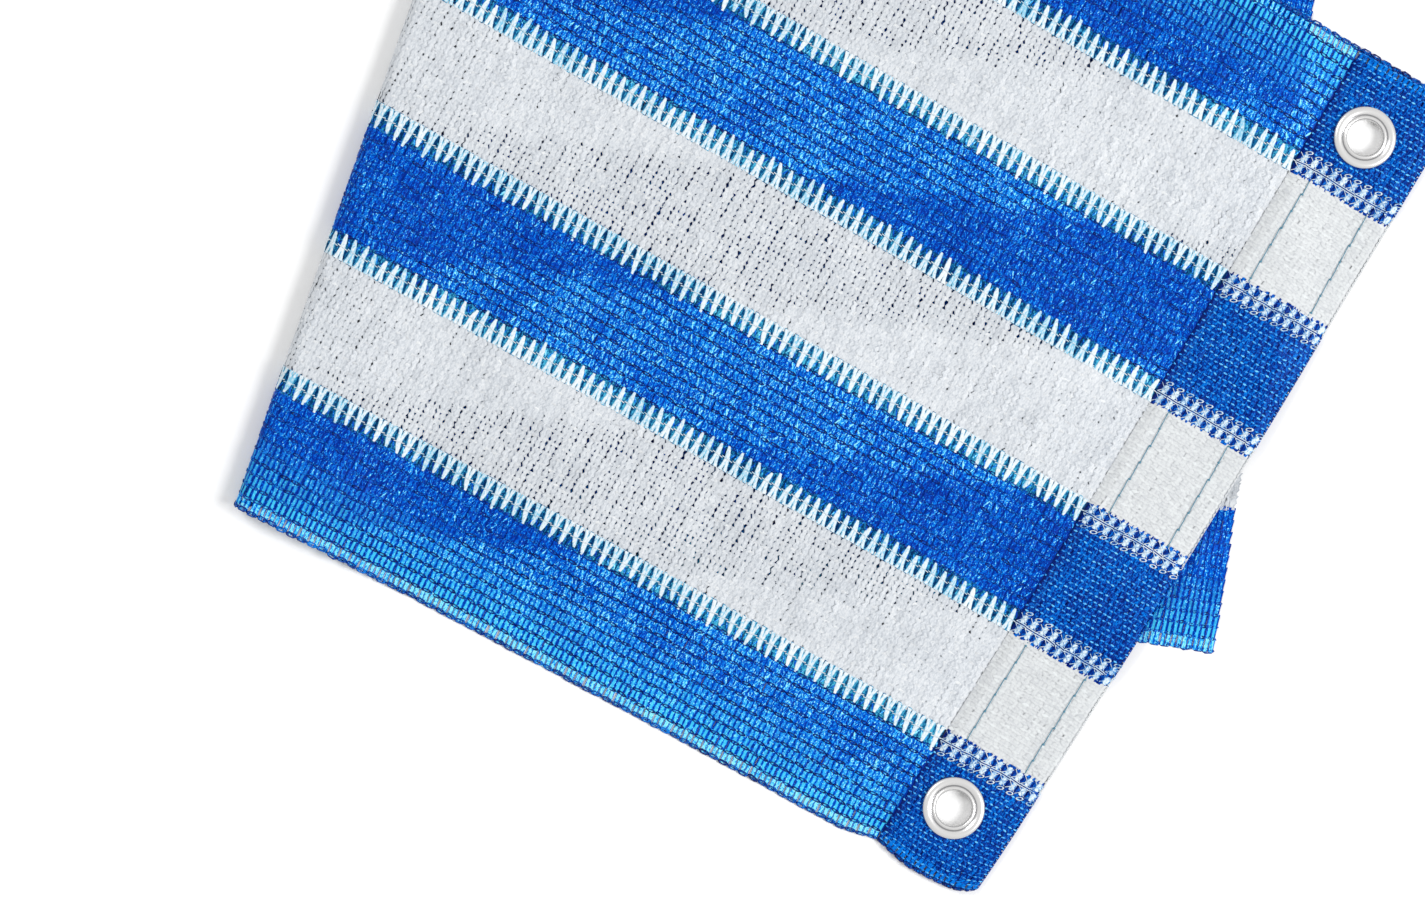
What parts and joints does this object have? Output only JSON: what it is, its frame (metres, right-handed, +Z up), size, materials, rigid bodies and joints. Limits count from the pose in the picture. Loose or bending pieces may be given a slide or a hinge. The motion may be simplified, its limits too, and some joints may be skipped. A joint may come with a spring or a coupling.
{
  "type": "balcony privacy screen",
  "caption": "Cut length of knitted tape balcony screen with broad blue and white stripes, folded over once on a slant, its hemmed end pierced by metal eyelets",
  "frame": {"origin": "the middle of the lower layer's underside, on the surface that the screen lies on", "axes": "+Z up out of the surface; +X along the lower layer's needle rows, away from the fold; +Y across them, away from the long edge that the flap hangs past"},
  "size_m": [0.4064, 0.4345, 0.0098],
  "materials": {
    "knitted_tape": "knitted polyethylene tape in blue and white stripes, semi-gloss",
    "knitted_tape_hem": "the same knit turned back and stitched down, its loop side out",
    "eyelet_metal": "bright pressed aluminium, lightly scuffed"
  },
  "bodies": {
    "root": {"screen_panel": "knitted_tape", "hem_strip": "knitted_tape_hem", "eyelet_lower": "eyelet_metal", "eyelet_upper": "eyelet_metal", "washer_lower": "eyelet_metal", "washer_upper": "eyelet_metal"}
  },
  "joints": []
}
